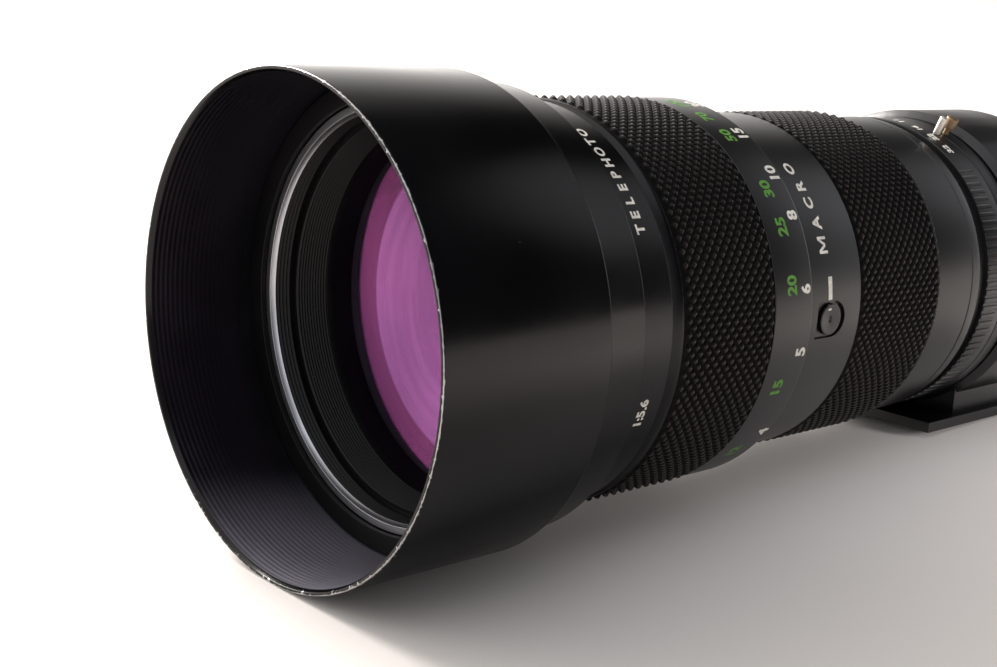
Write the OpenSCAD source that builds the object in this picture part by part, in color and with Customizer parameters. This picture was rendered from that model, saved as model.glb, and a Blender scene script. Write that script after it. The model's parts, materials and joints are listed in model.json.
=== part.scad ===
// Telephoto macro-zoom lens with hood, two knurled rings and a rotating tripod collar.
// The optical axis lies along Y: the hood opens towards -Y, the bayonet points to +Y.
// The origin is the centre of the bayonet's flange face. Angles are counted around the
// axis from +X towards +Z, and "station" means a distance along Y from the flange.

/* [Hood] */
// Distance from the flange face to the hood's front rim
overall_len = 276; // [275:1:277]
// Outer radius of the hood shell
hood_r = 56; // [55.5:0.5:58]
// Thickness of the hood's wall
hood_wall = 1.2; // [1:0.1:1.5]
// Length of the hood's full-width shell
hood_shell_len = 44.6; // [44:0.1:45]
// Length of the hood's narrower rear neck
hood_neck_len = 13.1; // [13:0.1:13.5]
// Radius of the neck where it leaves the shell
hood_neck_r = 53.9; // [53.2:0.1:54]

/* [Outer rings] */
// Length of the name band between the hood and the focusing ring
name_band_len = 13; // [12.8:0.1:13.2]
// Radius of the name band
front_r = 49.15; // [49:0.05:49.2]
// Width of the focusing ring's front lip
lip_len = 3.3; // [3:0.1:3.4]
// Length of the knurled focusing grip
focus_grip_len = 31.7; // [31.5:0.1:31.9]
// Radius of the focusing grip
focus_grip_r = 49.7; // [49.4:0.1:50.3]
// Length of the distance scale
scale_len = 13.8; // [13.6:0.1:14]
// Radius of the distance scale
scale_r = 49.4; // [49.2:0.1:49.6]
// Length of the fixed index band with the macro lock
index_len = 25.5; // [25.3:0.1:25.7]
// Radius of the index band
index_r = 45.4; // [45.2:0.1:45.6]
// Length of the knurled zoom grip
zoom_grip_len = 36.8; // [36.6:0.1:37]
// Radius of the zoom grip
zoom_grip_r = 45.5; // [45.3:0.1:46]
// Length of the smooth rear housing band
rear_band_len = 21.7; // [21.5:0.1:21.9]
// Radius of the rear housing band
rear_band_r = 43.8; // [43.6:0.1:44]
// Length of the aperture ring
aperture_len = 10.2; // [10:0.1:10.3]
// Radius of the aperture ring
aperture_r = 43.6; // [43.4:0.1:43.8]
// Angle of the f-stop stud and the closing knob, from +X towards +Z
stud_angle = 68; // [66:0.5:69]
// Height of the f-stop stud and the closing knob above their rings
stud_len = 5.4; // [4.6:0.1:6]

/* [Tripod collar] */
// Outer radius of the collar
collar_r = 45.6; // [45.2:0.1:45.8]
// Length of the collar along the axis
collar_len = 36; // [35.8:0.1:36.2]
// Height of the optical axis above the foot's underside
foot_drop = 46; // [46:0.5:48]
// Half of the foot plate's width
foot_half_w = 30; // [28:1:32]
// Length of the foot plate
foot_len = 52; // [50:1:54]

/* [Motion] */
// Turn of the focusing ring from infinity to its near stop
focus_turn = 160; // [120:10:170]
// Turn of the zoom ring from its short end to its long end
zoom_turn = 72; // [72:1:72]
// Further turn of the zoom ring into its macro zone
macro_turn = 18; // [18:1:18]
// Travel of the variator group over the zoom range
variator_travel = 22; // [20:1:22]
// Travel of the compensator group over the zoom range
compensator_travel = 10; // [8:1:10]

/* [Iris] */
// Radius of the fully open aperture
iris_r = 17.5; // [17:0.1:17.6]
// Radius on which the blades pivot
blade_pivot_r = 31.5; // [31:0.1:32]

/* [Hidden] */

$fn = 128;

// Stations of the outside, from the hood's rim to the rear of the tripod collar
y_rim = -overall_len;
y_shoulder = y_rim + hood_shell_len;
y_neck = y_shoulder + hood_neck_len;
y_lip = y_neck + name_band_len;
y_grip = y_lip + lip_len;
y_scale = y_grip + focus_grip_len;
y_index = y_scale + scale_len;
y_zoom = y_index + index_len;
y_band = y_zoom + zoom_grip_len;
y_groove = y_band + rear_band_len;
y_aperture = y_groove + 4.8;
y_stop = y_aperture + aperture_len;
y_stop_end = y_stop + 5.4;
y_collar = y_stop_end + 1.4;
y_collar_end = y_collar + collar_len;
stud_y = y_aperture + 8.4;
knob_y = y_stop + 2.6;
knob_neck = 1.9;

// Stations of the front group
y_filter = y_rim + 29.5;
filter_len = 6.5;
y_glass = y_rim + 46.5;

// Radii of the nested sleeves, from the optics outwards
run = 0.06;
seat = 0.02;
guide_in = 36;
guide_out = 38;
cam_in = guide_out + run;
cam_out = 40;
barrel_in = 40.6;
barrel_out = 43.1;
tail_out = 46.3;
filter_r = 46.5;
bore_front = 46;
spigot_in = 38.5;
spigot_out = 41;
collar_seat = 36.5;

// The zoom mechanism
pin_r = 1.5;
slot_r = 1.9;
variator_y = -146;
compensator_y = -94;
drive_y = -113;
drive_angles = [20, 200];
pin_angles = [60, 180, 300];
macro_y = y_rim + 133.1;
macro_angle = -1.6;

// The iris
blade_n = 6;
blade_layer = 0.42;
blade_t = 0.25;
blade_y = y_aperture + 2.9;

// The aperture ring's click stops
detent_angle = 135;
detent_step = 8;
detent_y = y_aperture + 2.2;

// The tripod collar: its plate, lock knob, threaded bushes and screws
plate_t = 3;
boss_z = -foot_drop + plate_t;
collar_mid = y_collar + collar_len / 2;
lock_angle = 205;
bush_y = [-41, -28];
bush_r = [6, 4.6];
socket_r = [4.76, 3.175];
bush_h = 7.4;
screw_places = [[-22, -45], [22, -45], [-22, -23], [22, -23]];

// ---------- shared shapes ----------

// A turned piece: each point is [radius, station]
module turned(points) rotate([-90, 0, 0]) rotate_extrude() polygon(points);

// A plain ring between two radii and two stations
module ring(r_in, r_out, y0, y1) turned([[r_in, y0], [r_out, y0], [r_out, y1], [r_in, y1]]);

// A part of a ring, from angle a0 through a span
module arc_ring(r_in, r_out, y0, y1, a0, span)
  rotate([-90, 0, 0]) rotate([0, 0, -a0 - span]) rotate_extrude(angle = span)
    polygon([[r_in, y0], [r_out, y0], [r_out, y1], [r_in, y1]]);

// Turns a child's +X direction to an angle around the optical axis
module at_angle(a) rotate([0, -a, 0]) children();

// A round pin that points away from the axis
module radial_pin(a, y, r0, r1, r) at_angle(a) translate([r0, y, 0]) rotate([0, 90, 0]) cylinder(r = r, h = r1 - r0);

// How far a spherical face of radius R has curved away at height x
function sag(x, R) = R == 0 ? 0 : sign(R) * (abs(R) - sqrt(R * R - x * x));

// A lens element: positive radii bulge outwards, zero is flat
module element(r, y_front, R_front, y_back, R_back, steps = 10)
  turned(concat(
    [for (i = [0:steps]) [r * i / steps, y_front + sag(r * i / steps, R_front)]],
    [for (i = [steps:-1:0]) [r * i / steps, y_back - sag(r * i / steps, R_back)]]
  ));

// A coil spring along Z, swept as a small round wire with its turns evenly spaced
module coil(r, wire, h, turns, sides = 6, steps = 14) {
  n = turns * steps;
  points = [for (i = [0:n], k = [0:sides - 1])
    let (a = 360 * i / steps, b = 360 * k / sides, q = r + wire * cos(b))
    [q * cos(a), q * sin(a), wire + (h - 2 * wire) * i / n + wire * sin(b)]];
  walls = [for (i = [0:n - 1], k = [0:sides - 1])
    [i * sides + k, (i + 1) * sides + k, (i + 1) * sides + (k + 1) % sides, i * sides + (k + 1) % sides]];
  caps = [[for (k = [0:sides - 1]) k], [for (k = [sides - 1:-1:0]) n * sides + k]];
  polyhedron(points, concat(walls, caps));
}

// The slanting slot that a follower pin rides in: short straight cuts along a helix of the cam tube
module cam_slot(a0, y0, travel) {
  n = 9;
  over = 2;
  slope = travel / zoom_turn;
  sweep = zoom_turn + macro_turn + 2 * over;
  tilt = atan(slope * 180 / PI / cam_out);
  cut_len = cam_out * sweep / n * PI / 180 / cos(tilt) + 0.8;
  for (i = [0:n - 1]) {
    turn = sweep * (i + 0.5) / n - macro_turn - over;
    at_angle(a0 - turn) translate([cam_in, y0 + slope * turn, 0]) rotate([tilt, 0, 0])
      cube([6, 2 * slot_r, cut_len], center = true);
  }
}

// A straight slot through a sleeve, for a pin that slides along the axis
module straight_slot(a, y0, y1, r0, r1, r) {
  radial_pin(a, y0, r0, r1, r);
  radial_pin(a, y1, r0, r1, r);
  at_angle(a) translate([r0, y0, -r]) cube([r1 - r0, y1 - y0, 2 * r]);
}

// ---------- hood and front group ----------

module lens_hood() color("#17181a") {
  rib_n = 20;
  rib_pitch = 1.3;
  inner = hood_r - hood_wall;
  ribs_from = y_rim + 1.8;
  step = y_rim + 40;
  turned(concat(
    [[hood_r - 0.9, y_rim], [hood_r - 0.25, y_rim], [hood_r, y_rim + 0.3], [hood_r, y_shoulder - 0.4],
     [hood_r - 0.4, y_shoulder], [hood_neck_r + 0.3, y_shoulder], [hood_neck_r, y_shoulder + 0.3],
     [hood_neck_r - 0.6, y_neck - 0.5], [hood_neck_r - 1.1, y_neck], [51.5, y_neck], [51.5, step],
     [inner, step]],
    [for (i = [rib_n:-1:0]) each [[inner, ribs_from + rib_pitch * i + 0.65], [inner - 0.35, ribs_from + rib_pitch * i]]]
  ));
}

module hood_clamp_ring() color("#141517")
  turned([[front_r + 0.1, y_filter - 1.2], [54.4, y_filter - 1.2], [54.7, y_filter - 0.9], [54.7, y_filter + 6],
          [51.48, y_filter + 6], [51.48, y_neck - 0.2], [front_r + 0.1, y_neck - 0.2]]);

module filter_ring() color("#9a9a98")
  turned([[filter_r, y_filter + 0.8], [filter_r + 0.6, y_filter], [front_r - 0.3, y_filter],
          [front_r, y_filter + 0.3], [front_r, y_filter + filter_len], [filter_r, y_filter + filter_len]]);

module front_barrel() color("#1b1d20")
  difference() {
    turned([[bore_front, y_filter + filter_len], [front_r, y_filter + filter_len], [front_r, y_lip - 0.5],
            [front_r - 0.3, y_lip - 0.2], [tail_out, y_lip - 0.2], [tail_out, y_scale - 2.5],
            [barrel_out + run, y_scale - 2.5], [barrel_out + run, y_lip - 1], [bore_front, y_lip - 1]]);
    at_angle(270) translate([barrel_out - 1, y_lip + 2, -2.05]) cube([6, y_scale - y_lip, 4.1]);
  }

module front_baffle() color("#101012") {
  ridge_n = 11;
  y0 = y_filter + filter_len;
  pitch = (y_glass - 2.2 - y0) / ridge_n;
  turned(concat(
    [[bore_front - seat, y0], [bore_front - seat, y0 + ridge_n * pitch]],
    [for (i = [ridge_n:-1:1]) each [
      [45.3 - 0.08 * i, y0 + i * pitch], [44.9 - 0.08 * i, y0 + (i - 0.5) * pitch]]],
    [[45.3, y0]]
  ));
}

module front_retainer() color("#202124")
  turned([[43.7, y_glass + 5.2], [44.2, y_glass - 2.1], [bore_front - seat, y_glass - 2.1],
          [bore_front - seat, y_glass + 5.2]]);

module front_cell() color("#26282b")
  turned([[44.55, y_glass + 5.25], [bore_front - seat, y_glass + 5.25], [bore_front - seat, y_lip - 1.1],
          [39, y_lip - 1.1], [39, y_glass + 20.9], [41.05, y_glass + 20.9], [41.05, y_glass + 14],
          [42, y_glass + 14], [42, y_glass + 12.05], [44.55, y_glass + 12.05]]);

module front_glass() color("#9a5a92", 0.6) element(44.5, y_glass, 180, y_glass + 12, 0);

module second_glass() color("#7a6a92", 0.6) element(41, y_glass + 14.2, 320, y_glass + 20.85, 0);

// ---------- focusing ring ----------

module focus_ring() color("#1b1d20")
  turned([[tail_out + run, y_lip], [scale_r - 0.9, y_lip], [scale_r - 0.25, y_lip + 0.35], [scale_r, y_lip + 1],
          [scale_r, y_grip - 0.5], [scale_r - 0.3, y_grip], [48.3, y_grip], [48.3, y_scale], [47.6, y_scale],
          [47.6, y_index - 0.5], [tail_out + run, y_index - 0.5]]);

module focus_grip() color("#2a2724") ring(48.3 + seat, focus_grip_r, y_grip + 0.05, y_scale - 0.05);

module distance_scale() color("#1c1e22")
  turned([[47.6 + seat, y_scale], [scale_r - 0.3, y_scale], [scale_r, y_scale + 0.3], [scale_r, y_index],
          [47.6, y_index + 1.9], [46.8, y_index + 1.9], [46.8, y_index - 0.4], [47.6 + seat, y_index - 0.4]]);

// ---------- fixed barrel ----------

module outer_barrel() color("#3a3c40")
  difference() {
    ring(barrel_in, barrel_out, y_lip + 7.3, y_band + 4.2);
    for (a = drive_angles)
      arc_ring(barrel_in - 1, barrel_out + 1, drive_y - 1.9, drive_y + 1.9, a - macro_turn - 4,
               zoom_turn + macro_turn + 8);
    radial_pin(macro_angle, macro_y, barrel_in - 1, barrel_out + 1, 2.1);
    radial_pin(270, y_scale - 12, barrel_in - 1, barrel_out + 1, 1.5);
  }

module focus_key() color("#b0b2b4") {
  at_angle(270) translate([barrel_out + 0.02, y_scale - 20, -2]) cube([2.6, 16, 4]);
  radial_pin(270, y_scale - 12, barrel_in + 0.1, barrel_out + 0.05, 1.48);
}

module index_ring() color("#1c1e22")
  difference() {
    turned([[barrel_out + seat, y_scale - 1.5], [tail_out, y_scale - 1.5], [tail_out, y_index + 0.2],
            [index_r, y_index + 0.2], [index_r, y_zoom - 0.4], [index_r - 0.4, y_zoom], [barrel_out + seat, y_zoom]]);
    at_angle(macro_angle) translate([index_r - 1, macro_y - 5.6, -4.6]) cube([3, 11.2, 9.2]);
    radial_pin(macro_angle, macro_y, barrel_out - 1, index_r + 1, 4.1);
  }

module macro_button() color("#232529") {
  radial_pin(macro_angle, macro_y, 44.7, index_r + 0.35, 4);
  radial_pin(macro_angle, macro_y, 41.8, 44.75, 2);
}

module macro_spring() color("#b0b2b4")
  at_angle(macro_angle) translate([barrel_out + 0.02, macro_y, 0]) rotate([0, 90, 0]) coil(3, 0.2, 1.54, 2);

// ---------- zoom ring and its cam ----------

module zoom_ring() color("#1b1d20")
  difference() {
    turned([[barrel_out + run, y_zoom + 0.3], [44.2, y_zoom + 0.3], [44.2, y_band - 0.3],
            [barrel_out + run, y_band - 0.3]]);
    for (a = drive_angles) radial_pin(a, drive_y, barrel_out - 1, 45, pin_r + seat);
  }

module zoom_grip() color("#2a2724") ring(44.2 + seat, zoom_grip_r, y_zoom + 0.3, y_band - 0.3);

module zoom_drive_screws() color("#b0b2b4")
  for (a = drive_angles) radial_pin(a, drive_y, cam_in + 0.3, 44.1, pin_r);

module cam_tube() color("#b89a5a")
  difference() {
    ring(cam_in, cam_out, -162, -85);
    for (a = pin_angles) cam_slot(a, variator_y, variator_travel);
    for (a = pin_angles) cam_slot(a + 30, compensator_y, -compensator_travel);
    for (a = drive_angles) radial_pin(a, drive_y, cam_in - 1, cam_out + 1, pin_r + seat);
  }

module guide_tube() color("#8a8c90") {
  v = variator_travel / zoom_turn;
  c = compensator_travel / zoom_turn;
  difference() {
    ring(guide_in, guide_out, -188, y_groove - 4.6);
    for (a = pin_angles)
      straight_slot(a, variator_y - v * (macro_turn + 2), variator_y + variator_travel + 0.6,
                    guide_in - 1, guide_out + 1, pin_r + run);
    for (a = pin_angles)
      straight_slot(a + 30, compensator_y - compensator_travel - 0.3, compensator_y + c * (macro_turn + 2),
                    guide_in - 1, guide_out + 1, pin_r + run);
  }
}

// A moving cell: a sleeve that slides in the guide tube, with a seat for its glass and holes for its pins
module zoom_cell(y, half, glass_r, pin_offset)
  difference() {
    turned([[glass_r + seat, y - half], [guide_in - run, y - half], [guide_in - run, y + half],
            [glass_r - 1.5, y + half], [glass_r - 1.5, y + half - 1.5], [glass_r + seat, y + half - 1.5]]);
    for (a = pin_angles) radial_pin(a + pin_offset, y, glass_r + 1, guide_in + 1, pin_r + seat);
  }

module variator_cell() color("#2a2c30") zoom_cell(variator_y, 6, 28, 0);

module variator_glass() color("#a8c0c8", 0.6)
  element(28, variator_y - 0.1, -70, variator_y + 2.4, -200);

module variator_pins() color("#c0c2c4")
  for (a = pin_angles) radial_pin(a, variator_y, 31, cam_out - 0.1, pin_r);

module compensator_cell() color("#2a2c30") zoom_cell(compensator_y, 5, 27, 30);

module compensator_glass() color("#a8c0c8", 0.6)
  element(27, compensator_y - 4.2, 80, compensator_y + 3.4, 0);

module compensator_pins() color("#c0c2c4")
  for (a = pin_angles) radial_pin(a + 30, compensator_y, 30, cam_out - 0.1, pin_r);

// ---------- rear housing, aperture ring and iris ----------

module rear_housing() color("#1c1e22")
  difference() {
    turned([[barrel_out + seat, y_band], [rear_band_r - 0.3, y_band], [rear_band_r, y_band + 0.3],
            [rear_band_r, y_groove - 4.2], [rear_band_r - 0.35, y_groove - 3.9], [rear_band_r, y_groove - 3.6],
            [rear_band_r, y_groove - 0.4], [rear_band_r - 0.4, y_groove], [42.2, y_groove],
            [42.2, y_aperture - 0.1], [spigot_out, y_aperture - 0.1], [spigot_out, y_stop_end],
            [spigot_in, y_stop_end], [spigot_in, y_groove - 1.5], [34, y_groove - 1.5], [34, y_groove - 4.5],
            [barrel_in, y_groove - 4.5], [barrel_in, y_band + 4.3], [barrel_out + seat, y_band + 4.3]]);
    arc_ring(spigot_in - 1, spigot_out + 1, blade_y + 4.4, blade_y + 7, 116, 64);
    radial_pin(detent_angle, detent_y, spigot_out - 2, spigot_out + 1, 1.05);
  }

module aperture_ring() color("#1c1e22") {
  rib_n = 34;
  rib_step = 3.1;
  difference() {
    turned([[spigot_out + run, y_aperture], [aperture_r - 0.4, y_aperture], [aperture_r, y_aperture + 0.4],
            [aperture_r, y_stop - 0.25], [spigot_out + run, y_stop - 0.25]]);
    for (i = [0:rib_n - 1])
      at_angle(46 - rib_step * i) translate([aperture_r - 0.35, y_aperture - 1, -0.45]) cube([2, 8, 0.9]);
    ring(spigot_out - 1, spigot_out + 0.45, detent_y - 1.05, detent_y + 1.05);
    for (i = [0:7]) radial_pin(detent_angle - detent_step * i, detent_y, spigot_out - 1, spigot_out + 0.8, 1);
    radial_pin(stud_angle, stud_y, aperture_r - 1.5, aperture_r + 1, 0.92);
    radial_pin(120, blade_y + 5.7, spigot_out - 1, 42.6, 1.02);
  }
}

module aperture_stud() color("#d8d4cc") {
  radial_pin(stud_angle, stud_y, aperture_r - 1.4, aperture_r + 0.3, 0.9);
  radial_pin(stud_angle, stud_y, aperture_r + 0.05, aperture_r + stud_len, 1.1);
}

module aperture_drive_pin() color("#b0b2b4") radial_pin(120, blade_y + 5.7, 37.2, 42.5, 1);

module iris_actuator() color("#3a3c40")
  difference() {
    ring(iris_r + 1, spigot_in - 0.2, blade_y + 4.2, blade_y + 7.2);
    radial_pin(120, blade_y + 5.7, 37, 40, 1.02);
    for (i = [0:blade_n - 1])
      arc_ring(24, 26, blade_y + 4, blade_y + 7.4, 60 * i + 8, 34);
  }

module iris_housing() color("#2a2c30")
  difference() {
    turned([[iris_r, blade_y - 2.2], [spigot_in - seat, blade_y - 2.2], [spigot_in - seat, blade_y + 4],
            [35.5, blade_y + 4], [35.5, blade_y - 0.5], [iris_r, blade_y - 0.5]]);
    for (i = [0:blade_n - 1])
      at_angle(60 * i) translate([blade_pivot_r, blade_y - 3, 0]) rotate([-90, 0, 0]) cylinder(r = 0.86, h = 4);
  }

// A thin crescent leaf with a pivot stud. Each leaf lies in its own layer.
module iris_blade(i) color("#55575a")
  at_angle(60 * i) {
    y0 = blade_y + blade_layer * i;
    arc_ring(iris_r + 0.6, 27.5, y0, y0 + blade_t, 0, 78);
    translate([blade_pivot_r, y0, 0]) rotate([-90, 0, 0]) cylinder(r = 2.6, h = blade_t);
    translate([26, y0, -1.4]) cube([4.5, blade_t, 3.6]);
    translate([blade_pivot_r, blade_y - 2, 0]) rotate([-90, 0, 0]) cylinder(r = 0.8, h = y0 - blade_y + 2.1);
  }

module detent_ball() color("#c0c2c4")
  at_angle(detent_angle) translate([spigot_out - 0.52, detent_y, 0]) sphere(r = 0.9, $fn = 32);

module detent_spring() color("#b0b2b4")
  at_angle(detent_angle) translate([spigot_out - 1.99, detent_y, 0]) rotate([0, 90, 0]) coil(0.6, 0.1, 0.62, 2);

module stop_down_ring() color("#1c1e22")
  difference() {
    turned([[spigot_out + run, y_stop], [aperture_r, y_stop], [aperture_r, y_stop_end - 0.4],
            [aperture_r - 0.4, y_stop_end], [spigot_out + run, y_stop_end]]);
    radial_pin(stud_angle, knob_y, aperture_r - 1.5, aperture_r + 1, 0.92);
  }

module stop_down_knob() color("#a08468") {
  radial_pin(stud_angle, knob_y, aperture_r - 1.4, aperture_r + knob_neck + 0.1, 0.9);
  radial_pin(stud_angle, knob_y, aperture_r + knob_neck, aperture_r + stud_len, 1.8);
}

// ---------- rear barrel and bayonet ----------

module rear_barrel() color("#1b1d20")
  difference() {
    turned([[33, y_stop_end + 0.05], [40.6, y_stop_end + 0.05], [40.6, y_collar + 1.1], [collar_seat, y_collar + 1.1],
            [collar_seat, y_collar_end + 0.1], [41, y_collar_end + 0.1], [41.5, y_collar_end + 0.6],
            [41.5, y_collar_end + 4], [38.5, -6], [37, -4], [33, -4]]);
    for (i = [0:3]) at_angle(45 + 90 * i) translate([34.4, -9, 0]) rotate([-90, 0, 0]) cylinder(r = 0.85, h = 6);
  }

module relay_cell() color("#26282b")
  turned([[20, y_stop_end - 0.6], [32.95, y_stop_end - 0.6], [32.95, -8], [24.52, -8], [24.52, -16], [22.5, -16],
          [22.5, -18], [28, -24], [28, y_stop_end + 14], [20.52, y_stop_end + 12], [20.52, y_stop_end + 1.5],
          [20, y_stop_end + 1.5]]);

module relay_glass() color("#a8c0c8", 0.6) element(20.5, y_stop_end + 2.6, 60, y_stop_end + 11, 90);

module rear_glass() color("#9a8ab8", 0.6) element(24.5, -15.4, 0, -8, 75);

module rear_retainer() color("#202124")
  turned([[22.6, -7.95], [32.95, -7.95], [32.95, -5], [24.6, -5], [22.6, -7.2]]);

module bayonet_ring() color("#b4b5b6")
  difference() {
    union() {
      turned([[29, -3.98], [36.6, -3.98], [37, -3.6], [37, -0.4], [36.6, 0], [31.5, 0], [31.5, 6.1], [31.1, 6.5],
              [29, 6.5]]);
      for (i = [0:2]) arc_ring(31.4, 33.4, 3.6, 6.2, 65 + 120 * i, 50);
    }
    for (i = [0:3]) at_angle(45 + 90 * i) {
      translate([34.4, -5, 0]) rotate([-90, 0, 0]) cylinder(r = 0.85, h = 6);
      translate([34.4, -0.8, 0]) rotate([-90, 0, 0]) cylinder(r = 1.65, h = 2);
    }
    at_angle(0) translate([34.6, -2.5, 0]) rotate([-90, 0, 0]) cylinder(r = 1.4, h = 5);
  }

module mount_screws() color("#c0c2c4")
  for (i = [0:3]) at_angle(45 + 90 * i) difference() {
    union() {
      translate([34.4, -8.5, 0]) rotate([-90, 0, 0]) cylinder(r = 0.83, h = 8);
      translate([34.4, -0.78, 0]) rotate([-90, 0, 0]) cylinder(r = 1.6, h = 0.7);
    }
    translate([34.4 - 1, -0.45, -0.2]) cube([2, 1, 0.4]);
    translate([34.4 - 0.2, -0.45, -1]) cube([0.4, 1, 2]);
  }

// ---------- tripod collar ----------

module tripod_collar() color("#1a1c1f")
  difference() {
    union() {
      turned([[collar_seat + run, y_collar], [collar_r - 2, y_collar], [collar_r, y_collar + 2],
              [collar_r, y_collar_end - 1.5], [collar_r - 1.5, y_collar_end], [collar_seat + run, y_collar_end]]);
      translate([-foot_half_w + 3, y_collar + 1, boss_z]) cube([2 * foot_half_w - 6, collar_len - 2, 22]);
      radial_pin(lock_angle, collar_mid, 40, 47.5, 6);
    }
    ring(0, collar_seat + run, y_collar - 1, y_collar_end + 1);
    ring(0, 41.3, y_collar - 1, y_collar + 1.3);
    translate([-60, y_collar - 1, -70]) cube([120, collar_len + 2, 70 + boss_z]);
    radial_pin(lock_angle, collar_mid, 35, 48, 2.05);
    for (p = screw_places) translate([p[0], p[1], boss_z - 1]) cylinder(r = 1.5, h = 8);
    for (i = [0:1]) translate([0, bush_y[i], boss_z - 1]) cylinder(r = bush_r[i] + seat, h = bush_h + 1.1 - plate_t);
  }

module foot_plate() color("#1a1c1f")
  difference() {
    translate([0, 0, -foot_drop]) linear_extrude(plate_t) hull() {
      translate([-foot_half_w, y_aperture + 0.7]) square([2 * foot_half_w, 10]);
      for (x = [-1, 1]) translate([x * (foot_half_w - 8), y_aperture + 0.7 + foot_len - 8]) circle(r = 8);
    }
    ring(0, aperture_r + 0.6, y_aperture - 5, y_collar + 0.2);
    for (p = screw_places) translate([p[0], p[1], -foot_drop - 1]) {
      cylinder(r = 1.5, h = 8);
      cylinder(r = 2.9, h = 2.7);
    }
    for (i = [0:1]) translate([0, bush_y[i], -foot_drop - 1]) cylinder(r = bush_r[i] + seat, h = 8);
  }

module foot_screws() color("#9a9ca0")
  for (p = screw_places) translate([p[0], p[1], -foot_drop]) difference() {
    union() {
      translate([0, 0, 0.2]) cylinder(r = 2.8, h = 1.5);
      translate([0, 0, 1.6]) cylinder(r = 1.45, h = 7);
    }
    translate([0, 0, -0.5]) cylinder(r = 1.2, h = 1.6, $fn = 6);
  }

module tripod_bushes() color("#b8a060")
  for (i = [0:1]) translate([0, bush_y[i], -foot_drop]) difference() {
    cylinder(r = bush_r[i], h = bush_h);
    translate([0, 0, -1]) cylinder(r = socket_r[i], h = 10);
  }

module collar_lock_knob() color("#1f2124")
  difference() {
    union() {
      radial_pin(lock_angle, collar_mid, collar_seat + 0.1, 48, 2);
      radial_pin(lock_angle, collar_mid, 47.8, 55, 7);
    }
    for (i = [0:17]) at_angle(lock_angle) translate([48.6, collar_mid, 0]) rotate([20 * i, 0, 0])
      translate([0, 7.1, 0]) rotate([0, 90, 0]) cylinder(r = 0.6, h = 8, $fn = 16);
  }

// ---------- nodes ----------

lens_hood();
hood_clamp_ring();
filter_ring();
front_barrel();
front_baffle();
front_retainer();
front_cell();
front_glass();
second_glass();
focus_ring();
focus_grip();
distance_scale();
outer_barrel();
focus_key();
index_ring();
macro_button();
macro_spring();
zoom_ring();
zoom_grip();
zoom_drive_screws();
cam_tube();
guide_tube();
variator_cell();
variator_glass();
variator_pins();
compensator_cell();
compensator_glass();
compensator_pins();
rear_housing();
aperture_ring();
aperture_stud();
aperture_drive_pin();
iris_actuator();
iris_housing();
iris_blade(0);  // iris_blade_1
iris_blade(1);  // iris_blade_2
iris_blade(2);  // iris_blade_3
iris_blade(3);  // iris_blade_4
iris_blade(4);  // iris_blade_5
iris_blade(5);  // iris_blade_6
detent_ball();
detent_spring();
stop_down_ring();
stop_down_knob();
rear_barrel();
relay_cell();
relay_glass();
rear_glass();
rear_retainer();
bayonet_ring();
mount_screws();
tripod_collar();
foot_plate();
foot_screws();
tripod_bushes();
collar_lock_knob();
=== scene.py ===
"""Looks of the telephoto zoom lens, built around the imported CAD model.

The row frame is the CAD's: the optical axis lies along Y, the hood opens towards -Y and the
bayonet's flange is at 0. Sizes here are in millimetres unless a name says otherwise, angles
are degrees around the axis from +X towards +Z, and a station is a place along Y.
"""

import json
import math

import bmesh
import bpy
import numpy as np
from mathutils import Matrix, Vector

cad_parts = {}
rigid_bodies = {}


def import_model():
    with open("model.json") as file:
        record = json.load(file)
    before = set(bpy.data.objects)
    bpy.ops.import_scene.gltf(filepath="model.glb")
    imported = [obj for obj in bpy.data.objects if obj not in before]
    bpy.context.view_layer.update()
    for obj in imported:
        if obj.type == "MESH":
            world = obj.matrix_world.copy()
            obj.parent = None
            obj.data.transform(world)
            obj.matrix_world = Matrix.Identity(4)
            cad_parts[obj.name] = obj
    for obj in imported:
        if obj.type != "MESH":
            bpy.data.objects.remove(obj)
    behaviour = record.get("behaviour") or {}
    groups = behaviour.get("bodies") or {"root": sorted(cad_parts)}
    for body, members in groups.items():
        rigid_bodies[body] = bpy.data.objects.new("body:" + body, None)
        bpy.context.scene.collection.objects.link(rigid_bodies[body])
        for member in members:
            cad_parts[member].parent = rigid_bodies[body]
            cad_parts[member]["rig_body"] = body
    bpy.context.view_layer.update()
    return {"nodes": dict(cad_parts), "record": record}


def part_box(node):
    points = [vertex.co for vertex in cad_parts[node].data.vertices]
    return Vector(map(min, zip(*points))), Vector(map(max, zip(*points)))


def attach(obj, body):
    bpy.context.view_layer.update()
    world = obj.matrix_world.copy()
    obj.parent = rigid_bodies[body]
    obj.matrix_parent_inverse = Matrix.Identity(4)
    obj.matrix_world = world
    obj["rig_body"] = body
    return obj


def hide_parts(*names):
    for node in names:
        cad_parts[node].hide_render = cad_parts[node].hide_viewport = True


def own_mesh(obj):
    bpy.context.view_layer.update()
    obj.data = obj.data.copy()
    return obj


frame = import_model()

MM = 0.001
SEGMENTS = 288
SLOT_OF = {part["node"]: part["material_slot"] for part in frame["record"]["subparts"]}


# ---------- sizes, read from the frame ----------

def span(node):
    """First and last station of a node."""
    low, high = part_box(node)
    return low.y / MM, high.y / MM


def outer_radius(node):
    """Outer radius of a turned node."""
    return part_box(node)[1].x / MM


def pin_place(node):
    """Angle and station of a node that stands out from the axis like a spoke."""
    low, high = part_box(node)
    middle = (low + high) / 2
    return math.degrees(math.atan2(middle.z, middle.x)), middle.y / MM


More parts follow.
